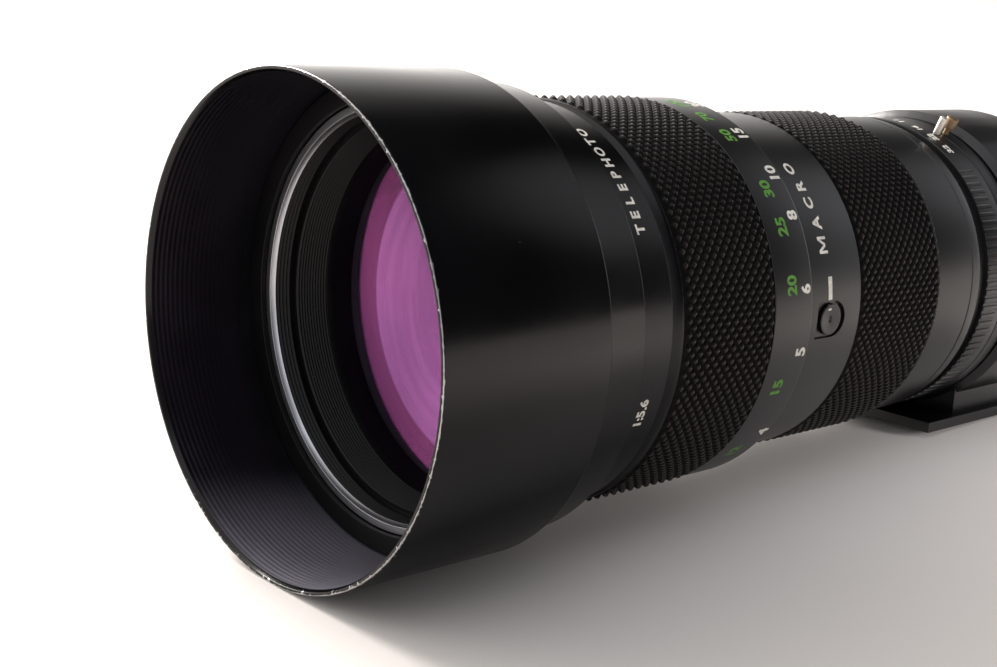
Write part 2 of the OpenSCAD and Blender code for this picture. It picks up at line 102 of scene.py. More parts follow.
RIM, NECK_END = span("lens_hood")
HOOD_R = outer_radius("lens_hood")
SHOULDER = RIM + 44.6
NECK_R = 53.9
HOOD_WALL = 1.2
FILTER, FILTER_END = span("filter_ring")
FRONT_R = outer_radius("front_barrel")
GLASS, GLASS_BACK = span("front_glass")
GLASS_R = outer_radius("front_glass")
GLASS_CURVE = 250
LIP = span("focus_ring")[0]
GRIP, GRIP_END = span("focus_grip")
SCALE = span("distance_scale")[0]
SCALE_R = outer_radius("distance_scale")
INDEX = span("distance_scale")[1] - 1.9
INDEX_R = 45.4
ZOOM, ZOOM_END = span("zoom_grip")
BAND = span("rear_housing")[0]
BAND_R = outer_radius("rear_housing")
APERTURE = span("aperture_ring")[0]
APERTURE_R = outer_radius("aperture_ring")
STOP, STOP_END = span("stop_down_ring")
GROOVE = APERTURE - 4.8
BUTTON_Y = sum(span("macro_button")) / 2
BUTTON_ANGLE = -1.6
CLAMP_BORE = 51.5  # the hood's seat for its clamp ring
TUBE_BORE = 43.12  # bore of the fixed bands, just clear of the outer barrel
RING_BORE = 41.06  # bore of the aperture ring and of the ring behind it
PIN_ROOT, PIN_R = 42.2, 0.9  # where the stud and the knob begin, and the radius of their pins


# ---------- node materials ----------

class Graph:
    """A material under construction. Its coordinates are the piece's own, in the row frame."""

    def __init__(self, name):
        self.material = bpy.data.materials.new(name)
        self.material.use_nodes = True
        self.tree = self.material.node_tree
        self.tree.nodes.clear()
        self.shader = self.add("ShaderNodeBsdfPrincipled")
        output = self.add("ShaderNodeOutputMaterial")
        self.tree.links.new(self.shader.outputs["BSDF"], output.inputs["Surface"])
        self.point = self.add("ShaderNodeTexCoord").outputs["Object"]
        parts = self.add("ShaderNodeSeparateXYZ", Vector=self.point).outputs
        self.x, self.y, self.z = parts
        squares = [self.math("MULTIPLY", side, side) for side in (self.x, self.z)]
        self.radius = self.math("SQRT", self.math("ADD", *squares))
        self.angle = self.math("ARCTAN2", self.z, self.x)

    def add(self, kind, settings=None, **inputs):
        node = self.tree.nodes.new(kind)
        for key, value in (settings or {}).items():
            setattr(node, key, value)
        for key, value in inputs.items():
            self.set(node.inputs[key.replace("_", " ")], value)
        return node

    def set(self, socket, value):
        if isinstance(value, bpy.types.NodeSocket):
            self.tree.links.new(value, socket)
        else:
            socket.default_value = value

    def math(self, operation, *values):
        node = self.add("ShaderNodeMath", {"operation": operation})
        for socket, value in zip(node.inputs, values):
            self.set(socket, value)
        return node.outputs["Value"]

    def vector(self, x, y, z):
        return self.add("ShaderNodeCombineXYZ", X=x, Y=y, Z=z).outputs["Vector"]

    def around(self, per_radian, along, outwards=0.0):
        """Coordinates that run around the axis, along it and outwards, each at its own scale."""
        return self.vector(
            self.math("MULTIPLY", self.angle, per_radian),
            self.math("MULTIPLY", self.y, along),
            self.math("MULTIPLY", self.radius, outwards),
        )

    def noise(self, scale, detail=2.0, vector=None, roughness=0.5):
        node = self.add(
            "ShaderNodeTexNoise", Vector=vector or self.point,
            Scale=scale, Detail=detail, Roughness=roughness,
        )
        return node.outputs["Fac"]

    def ramp(self, value, low, high, out_low=0.0, out_high=1.0):
        """Goes smoothly from out_low to out_high while value goes from low to high."""
        node = self.add(
            "ShaderNodeMapRange", {"interpolation_type": "SMOOTHSTEP"}, Value=value,
            From_Min=low, From_Max=high, To_Min=out_low, To_Max=out_high,
        )
        return node.outputs["Result"]

    def mix(self, factor, first, second):
        """Mixes two colours."""
        node = self.add("ShaderNodeMix", {"data_type": "RGBA"})
        colours = [s for s in node.inputs if s.type == "RGBA"]
        self.set(node.inputs[0], factor)
        for socket, value in zip(colours, (first, second)):
            self.set(socket, value if isinstance(value, bpy.types.NodeSocket) else (*value, 1))
        return [s for s in node.outputs if s.type == "RGBA"][0]

    def blend(self, factor, first, second):
        """Mixes two numbers."""
        node = self.add("ShaderNodeMix", {"data_type": "FLOAT"})
        numbers = [s for s in node.inputs if s.type == "VALUE"]
        for socket, value in zip(numbers, (factor, first, second)):
            self.set(socket, value)
        return [s for s in node.outputs if s.type == "VALUE"][0]

    def bump(self, height, depth_mm, strength=1.0):
        node = self.add("ShaderNodeBump", Height=height, Distance=depth_mm * MM, Strength=strength)
        self.set(self.shader.inputs["Normal"], node.outputs["Normal"])

    def paint(self, **inputs):
        for key, value in inputs.items():
            if isinstance(value, tuple) and len(value) == 3:
                value = (*value, 1)
            self.set(self.shader.inputs[key.replace("_", " ")], value)
        return self.material

    def specks(self, cell_mm, share, size):
        """Small round dust specks: one in some of the cells."""
        node = self.add("ShaderNodeTexVoronoi", Vector=self.point, Scale=1 / (cell_mm * MM))
        chance = self.add("ShaderNodeSeparateColor", Color=node.outputs["Color"]).outputs
        chosen = self.math("LESS_THAN", chance["Red"], share)
        reach = self.math("MULTIPLY", chance["Green"], size)
        inside = self.math("LESS_THAN", node.outputs["Distance"], reach)
        return self.math("MULTIPLY", chosen, inside)


def anodised(
    name, colour=(0.0016, 0.0014, 0.0018), gloss=0.2, tooling=0.4, wear=(), dust=0.05,
    shine=0.3, glance=0.15,
):
    """Black anodised and turned aluminium.

    tooling is the depth of the fine tool lines, and glance the share of the shine that they
    leave at a glancing angle. Each wear is (station, least radius, steady width, extra width
    where chipped, amount of chips)."""
    g = Graph(name)
    broad = g.noise(35, 3)
    lines = g.noise(1, 2, g.around(2.5, 2600, 2600))
    fine = g.noise(2600, 1)
    tint = g.mix(g.ramp(broad, 0.35, 0.7), colour, tuple(c * 1.5 for c in colour))
    rough = g.math("ADD", gloss, g.math("MULTIPLY", g.math("SUBTRACT", broad, 0.5), 0.12))
    rough = g.math("ADD", rough, g.math("MULTIPLY", g.math("SUBTRACT", lines, 0.5), 0.06))
    bare = 0.0
    for station, least_radius, steady, extra, amount in wear:
        chips = g.noise(1, 4, g.around(48, 1300), 0.6)
        chipped = g.ramp(chips, 0.72 - 0.5 * amount, 0.95 - 0.5 * amount)
        width = g.math("MULTIPLY", chipped, extra * MM)
        width = g.math("ADD", width, g.math("MULTIPLY", g.ramp(chips, 0.3, 0.55, 0.4), steady * MM))
        width = g.math("MULTIPLY", width, g.ramp(g.z, -0.02, -0.052, 1.0, 2.2))
        away = g.math("ABSOLUTE", g.math("SUBTRACT", g.y, station * MM))
        below = g.math("SUBTRACT", least_radius * MM, g.radius)
        away = g.math("ADD", away, g.math("MAXIMUM", below, 0.0))
        bare = g.math("MAXIMUM", bare, g.math("LESS_THAN", away, width))
    specks = g.specks(5.5, dust, 0.03)
    tint = g.mix(specks, tint, (0.16, 0.145, 0.13))
    tint = g.mix(bare, tint, (0.42, 0.41, 0.41))
    rough = g.blend(specks, rough, 0.9)
    g.bump(g.math("ADD", lines, g.math("MULTIPLY", fine, 0.4)), 0.012 * tooling)
    facing = g.add("ShaderNodeLayerWeight", Blend=0.5).outputs["Facing"]
    level = g.ramp(facing, 0.38, 0.62, shine, shine * glance)
    rough = g.blend(bare, rough, 0.34)
    return g.paint(Base_Color=tint, Roughness=rough, Metallic=bare, Specular_IOR_Level=level)


def flocked(name, colour, gloss, painted_light_tint=None):
    """Matt black inside of the hood and barrels, with a little dust lying in it.

    The fourth argument, when given, is the colour of a painted pool of light along the bottom, for
    light that falls in through the mouth, so it reaches highest at the mouth. It is placed by height,
    so it is right only while the lens lies as it does."""
    g = Graph(name)
    patch = g.noise(60, 4)
    grain = g.noise(3000, 2)
    tint = g.mix(g.ramp(patch, 0.4, 0.75), colour, tuple(c * 1.7 for c in colour))
    # painted light: the bottom is made lighter where light falling in through the mouth would light
    # it, most near the mouth
    if painted_light_tint:
        inwards = g.math("MULTIPLY", g.math("SUBTRACT", g.y, RIM * MM), 0.1)
        film = g.ramp(g.math("ADD", g.z, inwards), -0.04, -0.0555)
        tint = g.mix(g.math("MULTIPLY", film, g.ramp(patch, 0.2, 0.6, 0.8, 1.0)), tint, painted_light_tint)
    specks = g.specks(4.5, 0.07, 0.03)
    g.bump(grain, 0.012)
    rough = g.blend(patch, gloss - 0.06, gloss + 0.08)
    tint = g.mix(specks, tint, (0.1, 0.095, 0.09))
    return g.paint(Base_Color=tint, Roughness=rough, Specular_IOR_Level=0.2)


def knurled_black(name, tip_r, height):
    """The grips: black anodised, polished by hands on the tips and dull in the valleys. The tips are
    painted lighter and browner, partly for that polish and partly as a painted highlight.
    """
    g = Graph(name)
    patch = g.noise(45, 3)
    grain = g.noise(3500, 2)
    # painted highlight: the tips are made lighter and browner, partly for the polish of hands and
    # partly for the light they catch
    tip = g.ramp(g.radius, (tip_r - 0.55 * height) * MM, (tip_r - 0.08 * height) * MM)
    tip_polish_and_highlight = g.mix(g.ramp(patch, 0.35, 0.75), (0.008, 0.0054, 0.0045), (0.0145, 0.0104, 0.0086))
    tint = g.mix(tip, (0.0018, 0.0013, 0.0012), tip_polish_and_highlight)
    specks = g.specks(3.2, 0.1, 0.04)
    g.bump(grain, 0.01)
    rough = g.blend(tip, 0.6, g.blend(patch, 0.26, 0.38))
    shine = g.blend(tip, 0.1, 0.28)
    tint = g.mix(specks, tint, (0.12, 0.1, 0.09))
    return g.paint(Base_Color=tint, Roughness=rough, Specular_IOR_Level=shine)


def machined(name, colour, gloss=0.28, lines_mm=0.3):
    """Bare turned metal with fine tool lines and slightly uneven polish."""
    g = Graph(name)
    per_metre = 1 / (lines_mm * MM)
    lines = g.noise(1, 3, g.around(1.5, per_metre, per_metre))
    patch = g.noise(70, 3)
    tint = g.mix(g.ramp(patch, 0.3, 0.75), colour, tuple(c * 0.78 for c in colour))
    g.bump(lines, 0.006)
    return g.paint(Base_Color=tint, Metallic=1.0, Roughness=g.blend(patch, gloss - 0.05, gloss + 0.1))


def engraving(name, colour):
    """Paint that fills an engraving, a little uneven and dirty."""
    g = Graph(name)
    dirt = g.noise(900, 3)
    tint = g.mix(g.ramp(dirt, 0.35, 0.75), colour, tuple(c * 0.72 for c in colour))
    g.bump(dirt, 0.02)
    return g.paint(Base_Color=tint, Roughness=g.blend(dirt, 0.5, 0.7))


def coated_glass(name, tint, share, arcs=0.0, dim_from=None, focus_r=None):
    """A coated lens face: a coloured mirror film that lets the rest of the light through.

    Outside the radius dim_from the film is deeper and duller. With focus_r it mirrors as a hollow
    face of that radius of curvature would, which stands for the refraction that isn't modelled. arcs
    is how strongly faint lighter rings show in it."""
    g = Graph(name)
    rings = g.noise(1, 2, g.around(0.6, 0, 420))
    smear = g.noise(28, 3)
    light_tint = tuple(min(1, c * 1.3 + 0.03) for c in tint)
    film = g.mix(g.ramp(rings, 0.4, 0.7, 0, arcs), tint, light_tint)
    if dim_from:
        outer = g.ramp(g.radius, (dim_from - 0.3) * MM, (dim_from + 0.3) * MM)
        film = g.mix(outer, film, (tint[0] * 0.6, tint[1] * 0.42, tint[2] * 0.48))
    clean = g.ramp(smear, 0.45, 0.75)
    least, most = 0.08, 0.12
    if focus_r:
        least, most = 0.24, 0.3
        across, up = [g.math("DIVIDE", side, -focus_r * MM) for side in (g.x, g.z)]
        hollow = g.vector(across, -1.0, up)
        unit = g.add("ShaderNodeVectorMath", {"operation": "NORMALIZE"}, Vector=hollow)
        g.set(g.shader.inputs["Normal"], unit.outputs["Vector"])
    rough = g.blend(clean, least, most)
    return g.paint(Base_Color=film, Metallic=1.0, Roughness=rough, Alpha=share)


def make_finishes():
    """One material for each of the record's slots."""
    return {
        "satin_black": anodised(
            "satin_black", (0.003, 0.0029, 0.0037), 0.34, 0.8, shine=0.55, glance=0.9,
        ),
        "hood_inside": flocked(
            # the last colour is painted light, for the lit bottom inside the hood
            "hood_inside", (0.0045, 0.004, 0.0055), 0.36, (0.128, 0.122, 0.148),
        ),
        "grip_black": knurled_black("grip_black", 49.9, 0.8),
        "bare_ring": machined("bare_ring", (0.44, 0.44, 0.47), 0.3),
        "inner_metal": anodised(
            "inner_metal", (0.035, 0.036, 0.04), 0.42, 1.0, dust=0.0, shine=0.5, glance=1.0,
        ),
        "cam_brass": machined("cam_brass", (0.66, 0.48, 0.2), 0.3),
        "steel": machined("steel", (0.52, 0.53, 0.54), 0.24, 0.2),
        "blade_steel": machined("blade_steel", (0.1, 0.1, 0.11), 0.38),
        "stud_bright": machined("stud_bright", (0.74, 0.7, 0.63), 0.42, 0.15),
        "knob_bronze": machined("knob_bronze", (0.27, 0.19, 0.12), 0.48, 0.15),
        "coated_front": coated_glass("coated_front", (0.35, 0.2, 0.45), 0.05),
        "coated_inner": coated_glass("coated_inner", (0.3, 0.32, 0.6), 0.16),
        "bayonet_steel": machined("bayonet_steel", (0.66, 0.66, 0.67), 0.2, 0.25),
        "bush_brass": machined("bush_brass", (0.7, 0.56, 0.28), 0.28),
    }


# ---------- meshes ----------

def rounded(profile, steps=4):
    """The outline with its corners rounded.

    A point is (radius, station), and has its rounding as a third value if it is rounded."""
    points = []
    for i, corner in enumerate(profile):
        here = Vector(corner[:2])
        if len(corner) == 2:
            points.append(here)
            continue
        before = (Vector(profile[i - 1][:2]) - here).normalized() * corner[2]
        after = (Vector(profile[(i + 1) % len(profile)][:2]) - here).normalized() * corner[2]
        for k in range(steps + 1):
            t = k / steps
            points.append(here + before * (1 - t) ** 2 + after * t ** 2)
    return points


def new_piece(name, points, faces, material, smooth_deg=35):
    """A mesh object from points in millimetres."""
    mesh = bpy.data.meshes.new(name)
    mesh.from_pydata([tuple(c * MM for c in p) for p in points], [], faces)
    work = bmesh.new()
    work.from_mesh(mesh)
    bmesh.ops.remove_doubles(work, verts=work.verts, dist=1e-7)
    bmesh.ops.recalc_face_normals(work, faces=work.faces)
    work.to_mesh(mesh)
    work.free()
    mesh.shade_smooth()
    mesh.set_sharp_from_angle(angle=math.radians(smooth_deg))
    obj = bpy.data.objects.new(name, mesh)
    bpy.context.scene.collection.objects.link(obj)
    obj.data.materials.append(material)
    return obj


def turned(name, profile, material, segments=SEGMENTS, press=None, smooth_deg=35):
    """A closed outline turned around the Y axis.

    press(radius, station, angle) may change each radius."""
    outline = rounded(profile)
    count = len(outline)
    points = []
    for k in range(segments):
        a = 2 * math.pi * k / segments
        for r, y in outline:
            q = press(r, y, math.degrees(a)) if press else r
            points.append((q * math.cos(a), y, q * math.sin(a)))
    faces = []
    for k in range(segments):
        here, there = k * count, (k + 1) % segments * count
        for i in range(count):
            j = (i + 1) % count
            faces.append((here + i, here + j, there + j, there + i))
    return new_piece(name, points, faces, material, smooth_deg)


def second_finish(obj, material, where):
    """Gives another material to the faces whose middle where(radius, station) accepts."""
    obj.data.materials.append(material)
    for face in obj.data.polygons:
        c = face.center
        if where(math.hypot(c.x, c.z) / MM, c.y / MM):
            face.material_index = 1


def outwards(angle, station):
    """Turns the Y axis to point away from the optical axis at an angle and station."""
    a = math.radians(angle)
    out = Vector((math.cos(a), 0, math.sin(a)))
    around = Vector((math.sin(a), 0, -math.cos(a)))
    turn = Matrix((Vector((0, 1, 0)), out, around)).transposed().to_4x4()
    return Matrix.Translation((0, station * MM, 0)) @ turn


def studded(name, profile, material, angle, station, segments=64):
    """A turned piece that stands out of the barrel: its stations are radii from the optical axis."""
    obj = turned(name, profile, material, segments)
    obj.data.transform(outwards(angle, station))
    obj.data.update()
    return obj


def cut(obj, tool):
    """Takes tool's shape out of obj and removes the tool."""
    modifier = obj.modifiers.new("cut", "BOOLEAN")
    modifier.operation = "DIFFERENCE"
    modifier.solver = "EXACT"
    modifier.object = tool
    depsgraph = bpy.context.evaluated_depsgraph_get()
    mesh = bpy.data.meshes.new_from_object(obj.evaluated_get(depsgraph))
    obj.modifiers.remove(modifier)
    old = obj.data
    obj.data = mesh
    bpy.data.meshes.remove(old)
    bpy.data.objects.remove(tool)
    mesh.shade_smooth()
    mesh.set_sharp_from_angle(angle=math.radians(30))


def stands_for(obj, node, *others):
    """obj takes a CAD node's place: it rides on that node's body, and that node and any others given
    are hidden.
    """
    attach(obj, frame["nodes"][node]["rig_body"])
    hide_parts(node, *others)
    return obj


def knurl(name, inner_r, root_r, tip_r, start, end, lines, rows, material):
    """A knurled sleeve: staggered pyramids with worn tips, left by two crossing sets of grooves.

    Even places of a lattice of lines by half rows hold a pyramid, and odd ones a point where
    grooves cross."""
    step_a = 2 * math.pi / lines
    step_y = (end - start) / rows
    points, faces, index = [], [], {}

    def add(key, a, y, r):
        index[key] = len(points)
        points.append((r * math.cos(a), y, r * math.sin(a)))

    for i in range(lines):
        for k in range(rows + 1):
            if (i + k) % 2:
                add(("root", i, k), i * step_a, start + k * step_y, root_r)
    rings = ((0.62, 0.5), (0.38, 0.84), (0.2, 0.97), (0.08, 1.0))  # size and height of each step
    towards = ((-1, 0), (0, -1), (1, 0), (0, 1))
    for i in range(lines):
        for k in range(1, rows):
            if (i + k) % 2:
                continue
            corners = [index["root", (i - 1) % lines, k], index["root", i, k - 1]]
            corners += [index["root", (i + 1) % lines, k], index["root", i, k + 1]]
            ring = corners
            for n, (size, height) in enumerate(rings):
                r = root_r + (tip_r - root_r) * height
                for m, (da, dy) in enumerate(towards):
                    y = start + (k + dy * size) * step_y
                    add((i, k, n, m), (i + da * size) * step_a, y, r)
                inner = [index[i, k, n, m] for m in range(4)]
                for m in range(4):
                    faces.append((ring[m], ring[(m + 1) % 4], inner[(m + 1) % 4], inner[m]))
                ring = inner
            faces.append(tuple(ring))
    for k, inwards in ((0, 1), (rows, rows - 1)):
        edge = [i for i in range(lines) if (i + k) % 2]
        for i in edge:
            j = (i + 2) % lines
            roots = (index["root", i, k], index["root", j, k])
            faces.append((*roots, index["root", (i + 1) % lines, inwards]))
            for m in (i, j):
                if ("bore", m, k) not in index:
                    add(("bore", m, k), m * step_a, start + k * step_y, inner_r)
            faces.append((*roots, index["bore", j, k], index["bore", i, k]))
    first, last = [[i for i in range(lines) if (i + k) % 2] for k in (0, rows)]
    for a, b in zip(first, last):
        c, d = (a + 2) % lines, (b + 2) % lines
        corners = ((a, 0), (c, 0), (d, rows), (b, rows))
        faces.append(tuple(index["bore", i, k] for i, k in corners))
    return new_piece(name, points, faces, material, 75)


def stroke_glyph(strokes, width):
    """Points and faces of a letter made of straight strokes, one unit tall."""
    points, faces = [], []
    box = ((0, 1, 2, 3), (4, 5, 6, 7), (0, 1, 5, 4), (1, 2, 6, 5), (2, 3, 7, 6), (3, 0, 4, 7))
    for tail, tip in strokes:
        tail, tip = Vector(tail), Vector(tip)
        along = (tip - tail).normalized()
        side = Vector((-along.y, along.x)) * width / 2
        start = len(points)
        for z in (-0.5, 0.5):
            for corner in (tail - side, tip - side, tip + side, tail + side):
                points.append((corner.x, corner.y, z))
        faces += [tuple(start + i for i in f) for f in box]
    return np.array(points), faces


WIDE_M = (
    ((-0.5, -0.5), (-0.5, 0.5)), ((-0.46, 0.46), (0, -0.3)),
    ((0, -0.3), (0.46, 0.46)), ((0.5, 0.5), (0.5, -0.5)),
)


def glyph_mesh(text, bold):
    """Points and faces of a flat, slightly thick piece of lettering, one unit tall, centred."""
    if text == "M":
        return stroke_glyph(WIDE_M, 0.2)
    curve = bpy.data.curves.new("glyphs", "FONT")
    curve.body = text
    curve.offset = bold
    curve.extrude = 0.5
    curve.resolution_u = 3
    holder = bpy.data.objects.new("glyphs", curve)
    bpy.context.scene.collection.objects.link(holder)
    depsgraph = bpy.context.evaluated_depsgraph_get()
    mesh = bpy.data.meshes.new_from_object(holder.evaluated_get(depsgraph))
    points = np.array([v.co for v in mesh.vertices])
    faces = [tuple(p.vertices) for p in mesh.polygons]
    bpy.data.objects.remove(holder)
    bpy.data.curves.remove(curve)
    bpy.data.meshes.remove(mesh)
    low, high = points.min(0), points.max(0)
    points[:, :2] -= (low[:2] + high[:2]) / 2
    points[:, :2] /= high[1] - low[1]
    return points, faces


def lettering(name, marks, radius, height, material, body, bold=0.035, wide=1.1):
    """Figures filled with paint and bent around the axis. Each mark is (text, angle, station)."""
    points, faces = [], []
    for text, angle, station in marks:
        flat, flat_faces = glyph_mesh(text, bold)
        start = len(points)
        for x, y, z in flat:
            a = math.radians(angle) + x * height * wide / radius
            r = radius - 0.01 + 0.1 * z
            points.append((r * math.cos(a), station - y * height, r * math.sin(a)))
        faces += [tuple(start + i for i in f) for f in flat_faces]
    obj = new_piece(name, points, faces, material, 30)
    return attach(obj, body)


def inlay(name, radius, y0, y1, a0, a1, material, body):
    """A painted line on a band, from station y0 to y1 and angle a0 to a1."""
    steps, sunk, proud = 12, 0.06, 0.04
    section = ((radius - sunk, y0), (radius + proud, y0), (radius + proud, y1), (radius - sunk, y1))
    points, faces = [], []
    for k in range(steps + 1):
        a = math.radians(a0 + (a1 - a0) * k / steps)
        for r, y in section:
            points.append((r * math.cos(a), y, r * math.sin(a)))
    for k in range(steps):
        for i in range(4):
            j = (i + 1) % 4
            faces.append((4 * k + i, 4 * k + j, 4 * k + 4 + j, 4 * k + 4 + i))
    faces += [(0, 1, 2, 3), tuple(4 * steps + i for i in range(4))]
    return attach(new_piece(name, points, faces, material, 30), body)


# ---------- hood and front group ----------

def make_hood(inside):
    wall_in = HOOD_R - HOOD_WALL
    step = RIM + 40
    ribs, pitch, depth = 21, 1.28, 0.17
    black = anodised("hood_black", gloss=0.19, tooling=0.2, dust=0.16, wear=(
        (RIM + 0.1, HOOD_R - 0.1, 0.17, 0.55, 0.36),
        (SHOULDER, HOOD_R - 0.05, 0.2, 0.3, 0.05),
    ))
    profile = [
        (HOOD_R - 0.85, RIM, 0.12), (HOOD_R - 0.2, RIM, 0.15), (HOOD_R, RIM + 0.4, 0.2),
        (HOOD_R, SHOULDER, 0.5), (NECK_R, SHOULDER + 0.15, 0.2), (NECK_R - 0.9, NECK_END - 0.1, 0.35),
        (CLAMP_BORE, NECK_END - 0.1, 0.15), (CLAMP_BORE, step, 0.45), (wall_in, step, 0.3),
    ]
    for i in range(ribs, -1, -1):
        y = RIM + 1.2 + pitch * i
        crest = wall_in - depth * (1 - 0.8 * i / ribs)
        root, slope_end = y + 0.66 * pitch, y + 0.2 * pitch
        profile += [(wall_in, root, 0.12), (crest, slope_end, 0.12), (crest, y, 0.12)]
    hood = turned("hood_shell", profile, black)
    second_finish(hood, inside, lambda r, y: r < wall_in + 0.1 and RIM + 0.9 < y < step + 0.1)
    stands_for(hood, "lens_hood")


def make_clamp(black):
    """The ring between the hood's neck and the front barrel, with a flange in front."""
    inner, seat, flange = FRONT_R + 0.1, CLAMP_BORE - 0.02, 54.7
    front, flange_end, end = FILTER - 1.2, FILTER + 6, NECK_END - 0.25
    profile = [
        (inner, front, 0.2), (flange - 0.5, front, 0.3), (flange, FILTER + 0.2, 0.3),
        (flange, flange_end, 0.2), (seat, flange_end), (seat, end, 0.2), (inner, end, 0.2),
    ]
    stands_for(turned("hood_clamp", profile, black), "hood_clamp_ring")


def make_filter_ring(metal, black):
    """The bright ring with the filter thread cut inside it."""
    bore = FRONT_R - 2.65
    profile = [
        (bore + 0.7, FILTER, 0.1), (FRONT_R - 0.25, FILTER, 0.12), (FRONT_R, FILTER + 0.4, 0.15),
        (FRONT_R, FILTER_END), (bore, FILTER_END),
    ]
    turns = 5
    for i in range(turns, 0, -1):
        profile += [(bore, FILTER + i + 0.2), (bore + 0.45, FILTER + i - 0.3)]
    ring = turned("filter_thread_ring", profile, metal)
    second_finish(ring, black, lambda r, y: y > FILTER + 1.3)
    stands_for(ring, "filter_ring")


def make_front_barrel(black):
    """The band with the lettering, and the sleeve that slides inside the focusing ring."""
    well, sleeve, bore = 46, 46.3, TUBE_BORE + 0.04
    band_end, sleeve_end = LIP - 0.25, SCALE - 2.5
    profile = [
        (well, FILTER_END), (FRONT_R, FILTER_END), (FRONT_R, band_end, 0.35),
        (sleeve, band_end, 0.1), (sleeve, sleeve_end), (bore, sleeve_end),
        (bore, LIP - 1), (well, LIP - 1),
    ]
    stands_for(turned("name_band", profile, black), "front_barrel")


def make_baffle(inside):
    """The ridged light trap between the filter ring and the front glass."""
    start, end = span("front_baffle")
    ridges, outer, mouth = 11, 45.98, 44.9
    pitch = (end - start) / ridges
    profile = [(outer, start), (outer, end)]
    for i in range(ridges, 0, -1):
        crest = mouth - 0.08 * i
        profile += [(crest + 0.45, start + i * pitch), (crest, start + (i - 0.45) * pitch, 0.12)]
    profile.append((mouth + 0.4, start))
    stands_for(turned("ridged_baffle", profile, inside), "front_baffle")


def make_front_optics(black, coating, inner_coating):
    """The retaining ring, and the first two elements with their coatings.

    The front element's rear face has its own film, which is what glows in the hood."""
    outer, front, end = 45.98, GLASS - 2.1, GLASS + 5.15
    retainer = [
        (43.6, end, 0.1), (44.0, GLASS - 0.6, 0.3), (44.5, front, 0.3), (outer, front), (outer, end),
    ]
    stands_for(turned("glass_retainer", retainer, black), "front_retainer")
    steps, film_r, film_curve = 30, 44.2, 160
    film_back = GLASS + 14
    dome, rear = [], []
    for i in range(steps + 1):
        x = GLASS_R * i / steps
        dome.append((x, GLASS + GLASS_CURVE - math.sqrt(GLASS_CURVE ** 2 - x ** 2)))
        x = film_r * (1 - i / steps)
        rear.append((x, film_back - film_curve + math.sqrt(film_curve ** 2 - x ** 2)))
    edge = rear[0][1]
    side = [(GLASS_R, edge - 0.1), (film_r + 0.1, edge)]
    glass = turned("front_element", dome + side + rear, coating)
    film = coated_glass(
        "magenta_film", (0.7, 0.23, 0.68), 0.4, arcs=0.5, dim_from=38.6, focus_r=92,
    )
    second_finish(glass, film, lambda r, y: y > edge - 0.05)
    stands_for(glass, "front_glass")
    second_r, second_curve, start, end = 40.9, 320, GLASS + 16, GLASS + 20.8
    bowl = []
    for i in range(steps + 1):
        x = second_r * i / steps
        bowl.append((x, start + second_curve - math.sqrt(second_curve ** 2 - x ** 2)))
    second = turned("second_element", bowl + [(second_r, end), (0, end)], inner_coating)
    stands_for(second, "second_glass")


# ---------- focusing ring ----------

def make_focus_ring(black, grip):
    """The ring with its lip in front; the grip and the scale band sit on it."""
    bore, grip_seat, scale_seat, end = 46.36, 48.3, 47.6, INDEX - 0.5
    profile = [
        (bore, LIP, 0.1), (47.9, LIP, 0.25), (SCALE_R - 0.1, LIP + 1.9, 0.9),
        (SCALE_R, GRIP - 0.3, 0.25), (grip_seat, GRIP), (grip_seat, SCALE),
        (scale_seat, SCALE), (scale_seat, end), (bore, end),
    ]
    stands_for(turned("focus_lip", profile, black), "focus_ring")
    knurls = knurl("focus_knurl", 48.35, 49.1, 49.9, GRIP, GRIP_END, 200, 22, grip)
    stands_for(knurls, "focus_grip")


def make_distance_scale(black, white, green):
    """The band with the distances, in white metres and green feet, at their angles."""
    bore, flange, end = 47.62, 46.8, INDEX + 1.85
    profile = [
        (bore, SCALE), (SCALE_R, SCALE, 0.25), (SCALE_R, INDEX, 0.3), (47.6, end, 0.2),
        (flange, end), (flange, INDEX - 0.4), (bore, INDEX - 0.4),
    ]
    stands_for(turned("scale_band", profile, black), "distance_scale")
    metres = (
        ("4", -36), ("5", -8.1), ("6", 9.8), ("8", 30.7), ("10", 44.5), ("15", 60.4),
        ("30", 79.6), ("3", -63),
    )
    feet = (
        ("15", -18.2), ("20", 11.2), ("25", 27.6), ("30", 39.2), ("50", 59.4), ("70", 69.6),
        ("100", 80.6), ("12", -44), ("10", -72),
    )
    for name, figures, row, paint in (
        ("metre_figures", metres, RIM + 117.1, white), ("foot_figures", feet, RIM + 111.9, green),
    ):
        marks = [(text, angle, row) for text, angle in figures]
        lettering(name, marks, SCALE_R, 3.6, paint, "focus", wide=1.05)


# ---------- index band and macro button ----------

def arch_tool(half_width, front, rear_centre, floor_r, top_r):
    """A cutter with a straight front and a round rear, standing on the radius floor_r."""
    outline = [(front, -half_width), (front, half_width)]
    steps = 24
    for k in range(steps + 1):
        a = math.pi * (0.5 - k / steps)
        outline.append((rear_centre + half_width * math.cos(a), half_width * math.sin(a)))
    points = [(x, r, z) for r in (floor_r, top_r) for x, z in outline]
    n = len(outline)
    faces = [tuple(range(n)), tuple(range(n, 2 * n))]
    faces += [(i, (i + 1) % n, (i + 1) % n + n, i + n) for i in range(n)]
    tool = new_piece("recess_tool", points, faces, bpy.data.materials[0])
    tool.data.transform(outwards(BUTTON_ANGLE, BUTTON_Y))
    return tool


